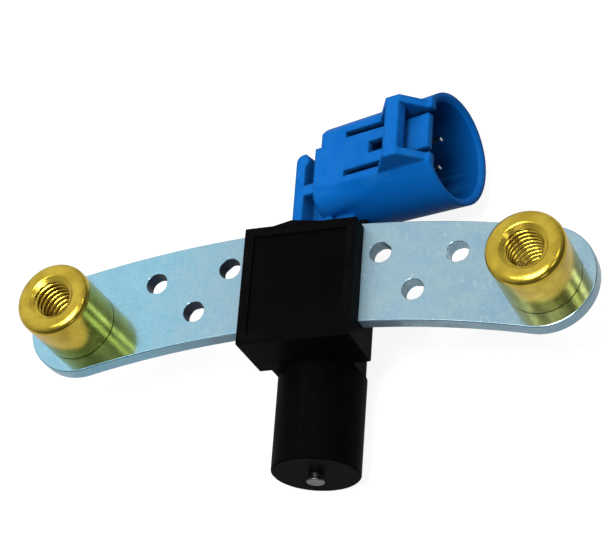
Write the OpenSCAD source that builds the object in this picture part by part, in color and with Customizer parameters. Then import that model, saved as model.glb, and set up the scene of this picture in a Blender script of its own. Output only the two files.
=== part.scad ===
// Crankshaft position sensor: a curved bracket plate with two threaded brass bushes carries a moulded
// body. The body's round nose holds a coil on a magnetised pole pin, and a keyed round socket on
// top takes the plug. X runs along the plate, Y from the nose to the socket, and Z out of the plate's
// front face, along the bushes. The origin is midway between the bushes, on the plate's front face.

/* [Bracket plate] */
// Distance between the axes of the two bushes
bush_pitch = 88; // [80:0.5:110]
// Radius of the plate's curved centreline
bend_r = 201; // [150:1:300]
// Width of the plate across its curve, and diameter of its round ends
plate_w = 19.4; // [17:0.1:24]
// Thickness of the sheet
plate_t = 3; // [1.5:0.1:4]
// Diameter of the small holes
hole_d = 4; // [2:0.1:5]
// Number of small holes in each arm
holes_per_arm = 3; // [1:1:3]
// Angle about the bend's centre from the middle of the plate to the first small hole
hole_start_angle = 4.05; // [3.8:0.05:4.6]
// Angle from one small hole to the next
hole_step_angle = 2.02; // [1.6:0.02:2.2]
// Distance of the small holes from the centreline, to alternate sides
hole_offset = 3.7; // [2:0.1:5]
// Diameter of the hidden hole that keys the moulding to the plate
key_hole_d = 7; // [4:0.5:10]

/* [Threaded bushes] */
// Outer diameter of a bush
bush_d = 14.2; // [12:0.1:17]
// Height of a bush above the plate
bush_h = 11.5; // [8:0.1:16]
// Radius of the rounded edge of a bush's head
bush_edge_r = 1.3; // [0.5:0.1:1.7]
// Minor diameter of the thread, at which the bore is drilled
thread_minor_d = 6.65; // [5:0.05:7.5]
// Diameter of the countersink at the mouth of the bore
countersink_d = 8.8; // [8:0.1:10]
// Full angle of the countersink
countersink_angle = 120; // [82:1:130]
// Diameter of the spigot that passes through the plate
spigot_d = 10.4; // [9.5:0.1:11.5]
// Diameter of the riveted rim behind the plate
rivet_d = 12.4; // [11.8:0.1:14]
// Thickness of the riveted rim
rivet_h = 0.7; // [0.4:0.1:1.5]

/* [Body block] */
// Width of the block
block_w = 21.3; // [18:0.1:22]
// Offset of the block's middle from the plate's middle, to the socket's side
block_shift = 0.45; // [-0.5:0.05:1]
// Height of the block above the plate's centreline
block_above = 8.7; // [7:0.1:9.5]
// Depth of the block below the plate's centreline
block_below = 14.35; // [12:0.05:18]
// How far the block stands in front of the plate's front face
block_front = 4; // [2:0.1:6]
// How far the block reaches behind the plate's front face
block_back = 7.6; // [5:0.1:9]
// Radius of the block's upright corners
block_corner_r = 0.25; // [0.1:0.05:2]
// Width of the raised border round the front panel
panel_border = 1.8; // [0.8:0.1:3]
// Depth of the front panel below its border
panel_recess = 0.5; // [0.1:0.05:1]
// How far the neck behind the plate stands in from the block, on the socket's side
neck_in = 1; // [0:0.1:1.5]
// Height of the neck's ridge above the plate's centreline
neck_rise = 13.3; // [12:0.1:14.5]
// Offset of the ridge from the block's middle, away from the socket
ridge_shift = 4.6; // [3:0.1:6]
// Drop of the neck's shoulder on the side away from the socket
far_shoulder_drop = 1.4; // [0.4:0.1:2]
// Drop of the neck's shoulder on the socket's side
near_shoulder_drop = 2; // [1:0.1:3]
// Height of the collar under the socket, above the plate's centreline
collar_rise = 16.2; // [15.5:0.1:17]
// Distance of the collar's front behind the plate's front face
collar_setback = 10.2; // [9:0.1:11]

/* [Nose] */
// Diameter of the nose
nose_d = 16.2; // [15.5:0.1:18]
// Length of the nose below the block
nose_l = 18.6; // [16.5:0.05:26]
// Distance of the nose's axis behind the plate's front face
nose_setback = 13.05; // [12:0.05:15]
// Size of the chamfer round the end of the nose
nose_chamfer = 0.3; // [0.2:0.1:1.2]
// Wall of the nose round the coil
nose_wall = 1.5; // [1:0.1:2]
// Thickness of the nose's end
nose_end_t = 1.6; // [1:0.1:2.5]
// How far the body's round back, above the nose, stands in from the nose's wall
spine_step = 0.3; // [0.2:0.05:0.6]

/* [Coil, pole pin and magnet] */
// Diameter of the rim at the pole pin's tip
pole_tip_d = 3.3; // [3.1:0.1:5]
// Thickness of the rim at the tip
pole_rim_t = 0.5; // [0.3:0.05:0.8]
// How far the tip stands out of the nose
pole_tip_out = 1.4; // [1:0.1:3]
// Diameter of the pole pin where it passes through the nose's end
pole_neck_d = 2.6; // [2.2:0.1:3]
// Diameter of the pole pin inside the bobbin
pole_d = 3.6; // [3.6:0.05:4]
// Length of the bobbin
bobbin_l = 16.5; // [12:0.1:17]
// Diameter of the bobbin's core
bobbin_core_d = 5.6; // [5.2:0.1:5.8]
// Thickness of the bobbin's flanges
flange_t = 1.2; // [0.8:0.1:2]
// Thickness of the tape round the winding
tape_t = 0.4; // [0.2:0.05:0.8]
// Distance of the tape below the rim of the flanges
tape_inset = 0.15; // [0.1:0.05:0.6]
// Diameter of the magnet and of the pole pin's head
magnet_d = 5; // [4.4:0.1:5.2]
// Length of the magnet
magnet_l = 6; // [4:0.1:7]
// Thickness of the pole pin's head
pole_head_t = 1.2; // [0.8:0.1:2]
// Diameter of the winding's two tails
lead_d = 0.5; // [0.3:0.05:0.6]

/* [Terminals] */
// Side of the square terminals
terminal_t = 1; // [0.8:0.05:1.2]
// Distance between the two pins, centre to centre
pin_pitch = 6; // [5:0.1:7]
// Length of a pin's tapered tip
pin_taper = 1; // [0.5:0.1:2]
// Distance of the pins' tips behind the socket's mouth
pin_recess = 3.1; // [1:0.1:6]
// Gap between the two legs of the terminals
leg_gap = 0.9; // [0.7:0.05:1]
// Diameter of the solder joints
solder_d = 1.6; // [1.2:0.05:1.7]
// Height of the solder joints
solder_h = 1.2; // [0.8:0.1:2]

/* [Socket] */
// Height of the socket's axis above the plate's centreline
socket_rise = 26.2; // [25.8:0.1:29]
// Angle by which the socket turns to the front
socket_yaw = 15; // [5:0.5:18]
// Outer diameter of the round shroud at its mouth
shroud_d = 21.3; // [20:0.1:22]
// Loss of the shroud's radius from its mouth to the terminal block's rear
shroud_taper = 0.55; // [0:0.05:0.8]
// Wall of the shroud
shroud_wall = 1.45; // [1.2:0.05:2]
// Distance of the shroud's front flat from its axis
front_flat = 8.35; // [7.8:0.05:9]
// Distance of the flat back of the terminal block from the socket's axis
back_flat = 6.8; // [5:0.1:7]
// Distance of the mouth from the nose's axis, along the socket
mouth_u = 26.45; // [25:0.05:32]
// Where the round shroud begins at the back, along the socket
shroud_u = 6.8; // [6.7:0.05:7]
// Where the terminal block begins, along the socket
body_u = 2.1; // [1.8:0.05:2.2]
// Size of the lead-in inside the mouth
lead_in = 0.7; // [0.3:0.05:1]
// Wall behind the shroud's hollow
back_wall = 1.5; // [1.3:0.05:2]
// Width of the latch tongue
tongue_w = 7; // [5:0.1:7.4]
// How far the tongue ends behind the mouth
tongue_recess = 0.5; // [0.2:0.05:1.5]
// Width of the slots beside the tongue
slot_w = 1.2; // [0.8:0.05:1.4]
// Length of the catch window in the tongue
window_l = 3; // [2:0.1:4]
// Width of the catch window in the tongue
window_w = 2.4; // [1.5:0.1:4]
// Distance of the catch window's middle behind the mouth
window_back = 12; // [11.5:0.1:14]
// Width of each side of the latch guard
guard_side_t = 1.5; // [1:0.05:1.6]
// Height of the latch guard above the front flat
guard_h = 4.4; // [3:0.1:5]
// Length of the latch guard at its foot
guard_l = 10.3; // [9:0.1:11]
// Distance of the guard's foot behind the mouth
guard_recess = 0.85; // [0.3:0.05:2]
// Length of the ramp at the guard's rear
guard_rear_ramp = 4; // [3:0.1:4.5]
// Length of the ramp at the guard's front
guard_front_ramp = 3.4; // [2:0.1:3.5]
// Thickness of the bridge across the guard
bridge_t = 2.4; // [1.5:0.1:2.6]

/* [Socket's foot] */
// Distance of the foot's rear face behind the nose's axis
foot_back_u = 3.75; // [3:0.05:4.5]
// Thickness of the foot's upright plate
foot_t = 2.1; // [1.4:0.05:2.6]
// Height of the foot's upright plate above the socket's axis
foot_rise = 2.75; // [2:0.05:4]
// Radius of the upright plate's top corner
foot_corner_r = 1.4; // [0.5:0.1:1.4]
// Distance of the upright plate's front from the socket's axis
foot_front = 7.9; // [7:0.1:8.2]
// Depth of the groove between the upright plate and the terminal block
groove_depth = 3.6; // [1:0.1:4]
// Height of the groove's floor above the socket's axis
groove_rise = 1.7; // [1:0.1:1.9]
// Height of the step between the groove and the terminal block, above the socket's axis
step_rise = 2.9; // [2:0.05:4]
// Length of that step
step_l = 1.3; // [0.6:0.05:1.6]
// Radius of the rounded cheek along the terminal block's lower front corner
cheek_r = 4.2; // [3.6:0.1:5]
// Loss of the cheek's radius towards the mouth
cheek_fade = 1.4; // [1:0.1:2]
// Length of the cheek
cheek_l = 20; // [10:0.5:22]
// Height of the rib across the groove
rib_h = 2.1; // [1:0.1:3]
// Distance of the rib's middle below the socket's axis
rib_drop = 5.1; // [4:0.1:6]
// Depth of the foot below the socket's axis
foot_depth = 16; // [13:0.1:18]
// Thickness of the foot inside the moulding
root_d = 6; // [4.5:0.1:7]

/* [Fits] */
// Gap left round each piece that is moulded in or pressed in
mould_gap = 0.05; // [0.02:0.01:0.1]
// How far the socket's foot stays inside the nose's wall
side_wall = 0.8; // [0.7:0.05:1]
// Wall of the foot beside a terminal's leg
leg_wall = 0.7; // [0.5:0.05:0.9]

/* [Hidden] */
$fn = 96;
cut = 0.5; // how far a cutter runs past the face that it opens
lap = 0.5; // how far the forms of one moulding run into each other

// Plate: its centreline is an arc through both bush axes
bush_r = bush_d / 2;
plate_mid_y = bend_r - sqrt(bend_r * bend_r - bush_pitch * bush_pitch / 4);
bend_centre_y = plate_mid_y - bend_r;
arm_angle = asin(bush_pitch / 2 / bend_r);

// Body
block_top_y = plate_mid_y + block_above;
block_bottom_y = plate_mid_y - block_below;
neck_top_y = plate_mid_y + neck_rise;
nose_r = nose_d / 2;
spine_r = nose_r - spine_step;
block_left = block_shift - block_w / 2;
block_right = block_shift + block_w / 2;
collar_top_y = plate_mid_y + collar_rise;
nose_end_y = block_bottom_y - nose_l;
nose_z = -nose_setback;

// Coil stack, upwards from the inside of the nose's end
coil_y = nose_end_y + nose_end_t;
flange_r = nose_r - nose_wall - mould_gap;
winding_y = coil_y + flange_t + mould_gap;
winding_l = bobbin_l - 2 * flange_t - 2 * mould_gap;
tape_r = flange_r - tape_inset;
winding_r = tape_r - tape_t - mould_gap;
pole_head_y = coil_y + bobbin_l;
magnet_y = pole_head_y + pole_head_t;
solder_y = magnet_y + magnet_l + mould_gap;
leg_end_y = solder_y + solder_h;

// Socket: u runs along it from the nose's axis to the mouth, v is Y from its axis, w is its depth
socket_y = plate_mid_y + socket_rise;
shroud_r = shroud_d / 2;
taper_per_mm = shroud_taper / (mouth_u - body_u);
inner_flat = front_flat - shroud_wall;
cheek_v = shroud_taper + cheek_r + 0.3 - shroud_r; // the cheek stays just above the shroud's underside
cheek_w = front_flat - cheek_r - 0.05; // and just behind the front flat
root_u = (nose_r - side_wall - root_d / 2 * sin(socket_yaw)) / cos(socket_yaw);
lower_leg_u = root_u - leg_wall - terminal_t / 2;
upper_leg_u = lower_leg_u - terminal_t - leg_gap;
hollow_u = lower_leg_u + terminal_t / 2 + back_wall;
pin_tip_u = mouth_u - pin_recess;
guard_half_w = tongue_w / 2 + slot_w + guard_side_t;
guard_front_u = mouth_u - guard_recess;
guard_rear_u = guard_front_u - guard_l;

// Shape helpers

// A square with rounded corners, its lower left corner at the origin
module rounded_square(size, r) {
    translate([r, 0]) square([size[0] - 2 * r, size[1]]);
    translate([0, r]) square([size[0], size[1] - 2 * r]);
    for (x = [r, size[0] - r], y = [r, size[1] - r]) translate([x, y]) circle(r);
}

// Stands a piece that is drawn along Z on the nose's axis, from height y towards the socket
module on_nose_axis(y) {
    translate([0, y, nose_z]) rotate([-90, 0, 0]) children();
}

// Puts a piece drawn in the socket's own axes (u, v, w) in place
module on_socket() {
    translate([0, socket_y, nose_z]) rotate([0, -socket_yaw, 0]) children();
}

// Extrudes a side view drawn in (u, w) across the socket
module across_socket(from_v, to_v) {
    translate([0, to_v, 0]) rotate([90, 0, 0]) linear_extrude(to_v - from_v) children();
}

// Bracket plate

module plate_outline(grow = 0) {
    reach = 2 * bend_r;
    translate([0, bend_centre_y]) intersection() {
        difference() {
            circle(bend_r + plate_w / 2 + grow, $fn = 360);
            circle(bend_r - plate_w / 2 - grow, $fn = 360);
        }
        polygon([[0, 0], [-reach * sin(arm_angle), reach * cos(arm_angle)],
                 [reach * sin(arm_angle), reach * cos(arm_angle)]]);
    }
    for (side = [-1, 1]) translate([side * bush_pitch / 2, 0]) circle(plate_w / 2 + grow);
}

module small_holes() {
    for (side = [-1, 1], k = [0 : holes_per_arm - 1]) {
        angle = side * (hole_start_angle + k * hole_step_angle);
        radius = bend_r + (k % 2 == 0 ? 1 : -1) * hole_offset;
        translate([radius * sin(angle), bend_centre_y + radius * cos(angle)]) circle(d = hole_d);
    }
}

module bracket_plate() {
    color("lightsteelblue") translate([0, 0, -plate_t]) linear_extrude(plate_t) difference() {
        plate_outline();
        small_holes();
        translate([0, plate_mid_y]) circle(d = key_hole_d);
        for (side = [-1, 1]) translate([side * bush_pitch / 2, 0]) circle(d = spigot_d + 2 * mould_gap);
    }
}

// Threaded bushes

module bush_section() {
    bore_r = thread_minor_d / 2;
    sink_w = countersink_d / 2 - bore_r;
    sink_h = sink_w / tan(countersink_angle / 2);
    back_z = -plate_t - rivet_h;
    difference() {
        union() {
            square([bush_r, bush_h - bush_edge_r]);
            square([bush_r - bush_edge_r, bush_h]);
            translate([bush_r - bush_edge_r, bush_h - bush_edge_r]) circle(bush_edge_r);
            translate([0, back_z]) square([spigot_d / 2, bush_h - back_z - bush_edge_r]);
            translate([0, back_z]) square([rivet_d / 2, rivet_h]);
        }
        translate([-cut, back_z - cut]) square([bore_r + cut, bush_h - back_z + 2 * cut]);
        polygon([[0, bush_h + sink_h], [bore_r + 2 * sink_w, bush_h + sink_h], [bore_r, bush_h - sink_h],
                 [0, bush_h - sink_h]]);
    }
}

module bush(side) {
    color("darkgoldenrod") translate([side * bush_pitch / 2, 0, 0]) rotate_extrude() bush_section();
}

module left_bush() {
    bush(-1);
}

module right_bush() {
    bush(1);
}

// Moulded body

module neck_outline() {
    neck_right = block_right - neck_in;
    polygon([[block_left, plate_mid_y - lap], [neck_right, plate_mid_y - lap],
             [neck_right, neck_top_y - near_shoulder_drop], [block_shift - ridge_shift, neck_top_y],
             [block_left, neck_top_y - far_shoulder_drop]]);
}

module block_outline() {
    translate([block_left, block_bottom_y])
        rounded_square([block_w, block_top_y - block_bottom_y], block_corner_r);
}

// The lower half of the block, which runs on behind the plate
module heel_outline() {
    translate([block_left, block_bottom_y]) rounded_square([block_w, block_below], block_corner_r);
}

// The body behind the block, seen along the nose's axis, with its depth behind the plate as Y
module spine_outline() {
    translate([-spine_r, block_back - lap]) square([2 * spine_r, nose_setback - block_back + lap]);
    translate([0, nose_setback]) circle(spine_r);
}

// The body's round back, up to the socket; above the neck only the collar is left of it
module spine() {
    shoulder_y = neck_top_y - near_shoulder_drop;
    difference() {
        translate([0, block_bottom_y, 0]) rotate([-90, 0, 0])
            linear_extrude(collar_top_y - block_bottom_y) spine_outline();
        translate([-nose_r, shoulder_y, -collar_setback])
            cube([nose_d, collar_top_y - shoulder_y + cut, collar_setback]);
    }
}

// The nose ends at the block's lower face, and a slimmer core carries it up into the body
module nose() {
    on_nose_axis(nose_end_y + nose_chamfer) cylinder(h = nose_l - nose_chamfer, r = nose_r);
    on_nose_axis(nose_end_y + nose_chamfer) cylinder(h = nose_l, r = spine_r - spine_step);
    on_nose_axis(nose_end_y) cylinder(h = nose_chamfer, r1 = nose_r - nose_chamfer, r2 = nose_r);
}

module body_outer() {
    rear_z = -plate_t - mould_gap;
    translate([0, 0, rear_z]) linear_extrude(block_front - rear_z) block_outline();
    translate([0, 0, -block_back]) linear_extrude(block_back + rear_z + lap) {
        heel_outline();
        neck_outline();
    }
    spine();
    nose();
}

// The room that the plate takes in the moulding, less the plug through its key hole
module plate_room() {
    translate([0, 0, -plate_t - mould_gap]) linear_extrude(plate_t + 2 * mould_gap) difference() {
        plate_outline(mould_gap);
        translate([0, plate_mid_y]) circle(d = key_hole_d - 2 * mould_gap);
    }
}

module panel_room() {
    panel_w = block_w - 2 * panel_border;
    panel_h = block_top_y - block_bottom_y - 2 * panel_border;
    translate([block_left + panel_border, block_bottom_y + panel_border, block_front - panel_recess])
        cube([panel_w, panel_h, panel_recess + cut]);
}

// The room that the coil, pole pin, magnet and solder joints take in the moulding
module coil_room() {
    on_nose_axis(nose_end_y - cut) cylinder(h = nose_end_t + 2 * cut, d = pole_neck_d + 2 * mould_gap);
    on_nose_axis(coil_y) cylinder(h = bobbin_l, r = flange_r + mould_gap);
    on_nose_axis(coil_y) cylinder(h = solder_y - coil_y, d = magnet_d + 2 * mould_gap);
    for (u = [upper_leg_u, lower_leg_u]) {
        on_leg(u, coil_y) cylinder(h = leg_end_y - coil_y, d = lead_d + 2 * mould_gap);
        on_leg(u, solder_y) cylinder(h = solder_h, d = solder_d + 2 * mould_gap);
    }
}

module sensor_housing() {
    color([0.08, 0.08, 0.09]) difference() {
        body_outer();
        plate_room();
        panel_room();
        coil_room();
        on_socket() socket_outer(mould_gap);
        on_socket() leg_room(leg_end_y - socket_y);
    }
}

// Socket

// A cone along the socket that has radius r at the mouth and widens by slope towards it
module socket_cone(from_u, to_u, r, slope) {
    translate([from_u, 0, 0]) rotate([0, 90, 0])
        cylinder(h = to_u - from_u, r1 = r + slope * (from_u - mouth_u), r2 = r + slope * (to_u - mouth_u));
}

// Everything behind the plane at depth w in front of the socket's axis
module behind(w) {
    side = 4 * mouth_u;
    translate([-side / 2, -side / 2, w - side]) cube(side);
}

// The foot's upright plate, seen from the front, with its rounded corner at the top rear
module foot_outline(grow) {
    low_v = -foot_depth - grow;
    rear_u = -foot_back_u - grow;
    top_v = foot_rise + grow;
    translate([rear_u, low_v]) square([foot_t + 2 * grow, top_v - low_v - foot_corner_r]);
    translate([rear_u + foot_corner_r, low_v]) square([foot_t + 2 * grow - foot_corner_r, top_v - low_v]);
    translate([rear_u + foot_corner_r, top_v - foot_corner_r]) circle(foot_corner_r);
}

module foot(grow) {
    plate_end_u = foot_t - foot_back_u;
    back_w = -root_d / 2 - grow;
    floor_w = foot_front - groove_depth + grow;
    bridge_l = body_u - plate_end_u + cut;
    translate([0, 0, back_w]) linear_extrude(foot_front + grow - back_w) foot_outline(grow);
    translate([plate_end_u - grow, -foot_depth - grow, back_w])
        cube([root_u - plate_end_u + 2 * grow, foot_depth + groove_rise + 2 * grow, root_d + 2 * grow]);
    translate([plate_end_u - grow, -shroud_r, back_w])
        cube([bridge_l, shroud_r + groove_rise + grow, floor_w - back_w]);
    translate([plate_end_u - grow, -rib_drop - rib_h / 2, back_w])
        cube([bridge_l, rib_h, foot_front + grow - back_w]);
    translate([body_u - step_l - grow, cheek_v, back_w])
        cube([step_l + cut, step_rise + grow - cheek_v, front_flat + grow - back_w]);
}

// A cone that rounds out the terminal block's lower front corner and sinks into the shroud
module cheek(grow) {
    translate([body_u - step_l - grow, cheek_v, cheek_w]) rotate([0, 90, 0])
        cylinder(h = cheek_l, r1 = cheek_r + grow, r2 = cheek_r - cheek_fade + grow);
}

// The solid outside of the socket, without its latch guard
module socket_outer(grow = 0) {
    difference() {
        intersection() {
            socket_cone(body_u - grow, mouth_u, shroud_r + grow, taper_per_mm);
            behind(front_flat + grow);
        }
        translate([body_u - 2 * cut, -2 * shroud_r, -2 * shroud_r])
            cube([shroud_u - grow - body_u + 2 * cut, 4 * shroud_r, 2 * shroud_r - back_flat - grow]);
    }
    foot(grow);
    cheek(grow);
}

module guard_profile() {
    top_w = front_flat + guard_h;
    polygon([[guard_rear_u, front_flat - shroud_wall / 2], [guard_rear_u, front_flat],
             [guard_rear_u + guard_rear_ramp, top_w], [guard_front_u - guard_front_ramp, top_w],
             [guard_front_u, front_flat], [guard_front_u, front_flat - shroud_wall / 2]]);
}

module latch_guard() {
    for (v = [-guard_half_w, guard_half_w - guard_side_t])
        across_socket(v, v + guard_side_t) guard_profile();
    across_socket(-guard_half_w, guard_half_w)
        translate([guard_rear_u + guard_rear_ramp, front_flat + guard_h - bridge_t])
            square([guard_l - guard_rear_ramp - guard_front_ramp, bridge_t]);
}

module socket_hollow() {
    inner_r = shroud_r - shroud_wall;
    intersection() {
        union() {
            socket_cone(hollow_u, mouth_u + cut, inner_r, taper_per_mm);
            socket_cone(mouth_u - 2 * lead_in, mouth_u + cut, inner_r + lead_in, 1);
        }
        behind(inner_flat);
    }
}

module tongue_cuts() {
    low_w = inner_flat - cut;
    for (v = [-tongue_w / 2 - slot_w, tongue_w / 2])
        translate([hollow_u, v, low_w]) cube([mouth_u - hollow_u + cut, slot_w, shroud_wall + 2 * cut]);
    translate([mouth_u - tongue_recess, -tongue_w / 2 - cut, low_w])
        cube([tongue_recess + cut, tongue_w + 2 * cut, shroud_wall + 2 * cut]);
    translate([mouth_u - window_back - window_l / 2, -window_w / 2, low_w])
        cube([window_l, window_w, shroud_wall + 2 * cut]);
}

// The room for both terminals, from a height low_v up to their pins
module leg_room(low_v) {
    side = terminal_t + 2 * mould_gap;
    for (leg = [[upper_leg_u, pin_pitch / 2], [lower_leg_u, -pin_pitch / 2]]) {
        translate([leg[0] - side / 2, low_v, -side / 2]) cube([side, leg[1] + side / 2 - low_v, side]);
        translate([leg[0] - side / 2, leg[1] - side / 2, -side / 2])
            cube([hollow_u - leg[0] + side / 2 + cut, side, side]);
    }
}

module connector_shell() {
    color([0.04, 0.42, 0.82]) on_socket() difference() {
        union() {
            socket_outer();
            latch_guard();
        }
        socket_hollow();
        tongue_cuts();
        leg_room(-foot_depth - cut);
    }
}

// Terminals: a leg up from the coil, bent into a pin with a tapered tip

module terminal(leg_u, pin_v) {
    half = terminal_t / 2;
    leg_v = leg_end_y - socket_y;
    color("silver") on_socket() translate([0, 0, -half]) linear_extrude(terminal_t)
        polygon([[leg_u - half, leg_v], [leg_u + half, leg_v], [leg_u + half, pin_v - half],
                 [pin_tip_u - pin_taper, pin_v - half], [pin_tip_u, pin_v - half / 2],
                 [pin_tip_u, pin_v + half / 2], [pin_tip_u - pin_taper, pin_v + half],
                 [leg_u - half, pin_v + half]]);
}

module upper_terminal() {
    terminal(upper_leg_u, pin_pitch / 2);
}

module lower_terminal() {
    terminal(lower_leg_u, -pin_pitch / 2);
}

// Coil

// Stands a piece that is drawn along Z in line with a terminal's leg, from height y upwards
module on_leg(u, y) {
    translate([u * cos(socket_yaw), y, nose_z + u * sin(socket_yaw)]) rotate([-90, 0, 0]) children();
}

module pole_piece() {
    tip_y = nose_end_y - pole_tip_out;
    coil_h = coil_y - tip_y;
    head_h = pole_head_y - tip_y;
    color("gainsboro") on_nose_axis(tip_y) rotate_extrude()
        polygon([[0, 0], [pole_tip_d / 2, 0], [pole_tip_d / 2, pole_rim_t],
                 [pole_neck_d / 2, pole_rim_t], [pole_neck_d / 2, coil_h],
                 [pole_d / 2, coil_h], [pole_d / 2, head_h],
                 [magnet_d / 2, head_h], [magnet_d / 2, head_h + pole_head_t], [0, head_h + pole_head_t]]);
}

module magnet() {
    color("dimgray") on_nose_axis(magnet_y) cylinder(h = magnet_l, d = magnet_d);
}

module coil_bobbin() {
    color("ivory") difference() {
        union() {
            on_nose_axis(coil_y) cylinder(h = bobbin_l, d = bobbin_core_d);
            for (y = [coil_y, coil_y + bobbin_l - flange_t])
                on_nose_axis(y) cylinder(h = flange_t, r = flange_r);
        }
        on_nose_axis(coil_y - cut) cylinder(h = bobbin_l + 2 * cut, d = pole_d + 2 * mould_gap);
        for (u = [upper_leg_u, lower_leg_u])
            on_leg(u, coil_y + bobbin_l - flange_t - cut)
                cylinder(h = flange_t + 2 * cut, d = lead_d + 2 * mould_gap);
    }
}

module coil_winding() {
    color("chocolate") {
        difference() {
            on_nose_axis(winding_y) cylinder(h = winding_l, r = winding_r);
            on_nose_axis(winding_y - cut)
                cylinder(h = winding_l + 2 * cut, d = bobbin_core_d + 2 * mould_gap);
        }
        for (u = [upper_leg_u, lower_leg_u])
            on_leg(u, winding_y + winding_l - cut)
                cylinder(h = solder_y - winding_y - winding_l + cut, d = lead_d);
    }
}

module winding_tape() {
    color("khaki") difference() {
        on_nose_axis(winding_y) cylinder(h = winding_l, r = tape_r);
        on_nose_axis(winding_y - cut) cylinder(h = winding_l + 2 * cut, r = winding_r + mould_gap);
    }
}

module solder_joints() {
    color("lightgray") for (u = [upper_leg_u, lower_leg_u])
        on_leg(u, solder_y) cylinder(h = solder_h, d = solder_d);
}

bracket_plate();
left_bush();
right_bush();
sensor_housing();
connector_shell();
upper_terminal();
lower_terminal();
pole_piece();
magnet();
coil_bobbin();
coil_winding();
winding_tape();
solder_joints();
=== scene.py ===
"""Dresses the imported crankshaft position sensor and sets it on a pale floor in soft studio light."""

import logging
import math
from dataclasses import dataclass
from enum import Enum
from typing import Any

import bmesh
import bpy
import numpy as np
from mathutils import Matrix, Vector
from mathutils.geometry import delaunay_2d_cdt


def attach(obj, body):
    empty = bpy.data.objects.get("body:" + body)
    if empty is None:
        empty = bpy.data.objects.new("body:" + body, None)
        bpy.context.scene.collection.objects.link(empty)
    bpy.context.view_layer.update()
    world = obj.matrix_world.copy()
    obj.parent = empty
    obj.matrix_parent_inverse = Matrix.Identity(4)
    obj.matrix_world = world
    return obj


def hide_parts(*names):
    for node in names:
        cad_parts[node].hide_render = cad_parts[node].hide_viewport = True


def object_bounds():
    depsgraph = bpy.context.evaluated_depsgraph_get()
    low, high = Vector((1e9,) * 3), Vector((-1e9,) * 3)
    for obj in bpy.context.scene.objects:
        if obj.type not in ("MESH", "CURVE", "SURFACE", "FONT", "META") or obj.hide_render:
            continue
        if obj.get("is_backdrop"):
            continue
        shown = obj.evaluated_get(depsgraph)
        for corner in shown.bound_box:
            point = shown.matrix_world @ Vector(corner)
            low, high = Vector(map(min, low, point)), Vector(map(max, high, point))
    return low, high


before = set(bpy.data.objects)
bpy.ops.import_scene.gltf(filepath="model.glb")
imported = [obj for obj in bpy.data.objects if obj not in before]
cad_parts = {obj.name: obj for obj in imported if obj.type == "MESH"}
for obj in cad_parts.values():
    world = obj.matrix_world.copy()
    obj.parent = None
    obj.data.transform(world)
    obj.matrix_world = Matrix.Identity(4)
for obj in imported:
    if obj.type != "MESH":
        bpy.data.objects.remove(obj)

LOG = logging.getLogger("crank_sensor")
MM = 0.001
# The sizes in millimetres that the plate and the bushes share
BUSH_PITCH = 88.0
PLATE_T = 3.0
# Points closer than this, in metres, are one point in a turned piece and in a copied CAD mesh
TURNED_MERGE = 1e-7
CAD_MERGE = 2e-6
# Faces that meet at less than this angle are one flat face
FLAT_ANGLE = math.radians(0.5)
# Above these angles a moulding's edges are rounded, and a turned piece's edges are shaded as corners
ROUNDED_ANGLE = math.radians(28.0)
CORNER_ANGLE = math.radians(58.0)
# What the flat filling is asked for: triangles inside the borders, with points this close taken as one
INSIDE_TRIANGLES = 1
FILL_MERGE = 1e-6
Array = np.ndarray
Piece = bpy.types.Object
Socket = bpy.types.NodeSocket
Colour = tuple[float, float, float]
Point = tuple[float, float, float]


class Side(Enum):
    """Which end of the bracket a bush stands on; the value is the sign of its X."""

    LEFT = -1
    RIGHT = 1


class Axis(Enum):
    """The axis that a turned piece is turned about."""

    ALONG_Z = "z"
    ALONG_Y = "y"


def linear(red: int, green: int, blue: int) -> Colour:
    """Turns a screen colour, 0 to 255 for each channel, into the linear values a shader takes.

    The curve is the usual one of screens: a straight line near black, and above it a power of 2.4.

    Args:
        red: Red channel.
        green: Green channel.
        blue: Blue channel.

    Returns:
        The three linear values.
    """
    screen = np.array([red, green, blue]) / 255.0
    low = screen / 12.92
    high = ((screen + 0.055) / 1.055) ** 2.4
    return tuple(float(value) for value in np.where(screen <= 0.04045, low, high))


def grid_quads(rows: int, cols: int, first: int = 0) -> Array:
    """Joins a grid of points, numbered row by row, whose rows are closed loops.

    The quad of row i and column j joins (i, j), (i + 1, j), (i + 1, j + 1) and (i, j + 1), with the
    column after the last being the first again.

    Args:
        rows: Number of loops.
        cols: Number of points in each loop.
        first: Number of the grid's first point.

    Returns:
        One row of four point numbers for each quad.
    """
    i, j = np.meshgrid(np.arange(rows - 1), np.arange(cols), indexing="ij")
    after = (j + 1) % cols
    corners = [i * cols + j, (i + 1) * cols + j, (i + 1) * cols + after, i * cols + after]
    return np.stack(corners, axis=-1).reshape(-1, 4) + first


def quarter_turn(radius: float, steps: int) -> tuple[Array, Array, Array]:
    """Samples a rounded edge from a flat face down to the wall at its side.

    At the angle a from 0 to 90 degrees the edge stands in from the wall by radius * (1 - sin a) and
    below the face by radius * (1 - cos a).

    Args:
        radius: Radius of the edge.
        steps: Number of stretches in the quarter turn.

    Returns:
        The inset, the depth and the angle of every sample.
    """
    angle = np.linspace(0.0, math.pi / 2, steps + 1)
    return radius * (1.0 - np.sin(angle)), radius * (1.0 - np.cos(angle)), angle


def add_object(name: str, data: bpy.types.ID) -> bpy.types.Object:
    """Puts a mesh, a light or a camera into the scene.

    Args:
        name: The object's name.
        data: The mesh, light or camera.

    Returns:
        The new object.
    """
    placed = bpy.data.objects.new(name, data)
    bpy.context.scene.collection.objects.link(placed)
    return placed


def new_piece(name: str, mesh: bpy.types.Mesh) -> Piece:
    """Puts a mesh into the scene as a piece that rides on the sensor's one body.

    Args:
        name: The piece's name.
        mesh: Its mesh, in metres and in place.

    Returns:
        The new object.
    """
    piece = add_object(name, mesh)
    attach(piece, "root")
    return piece


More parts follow.
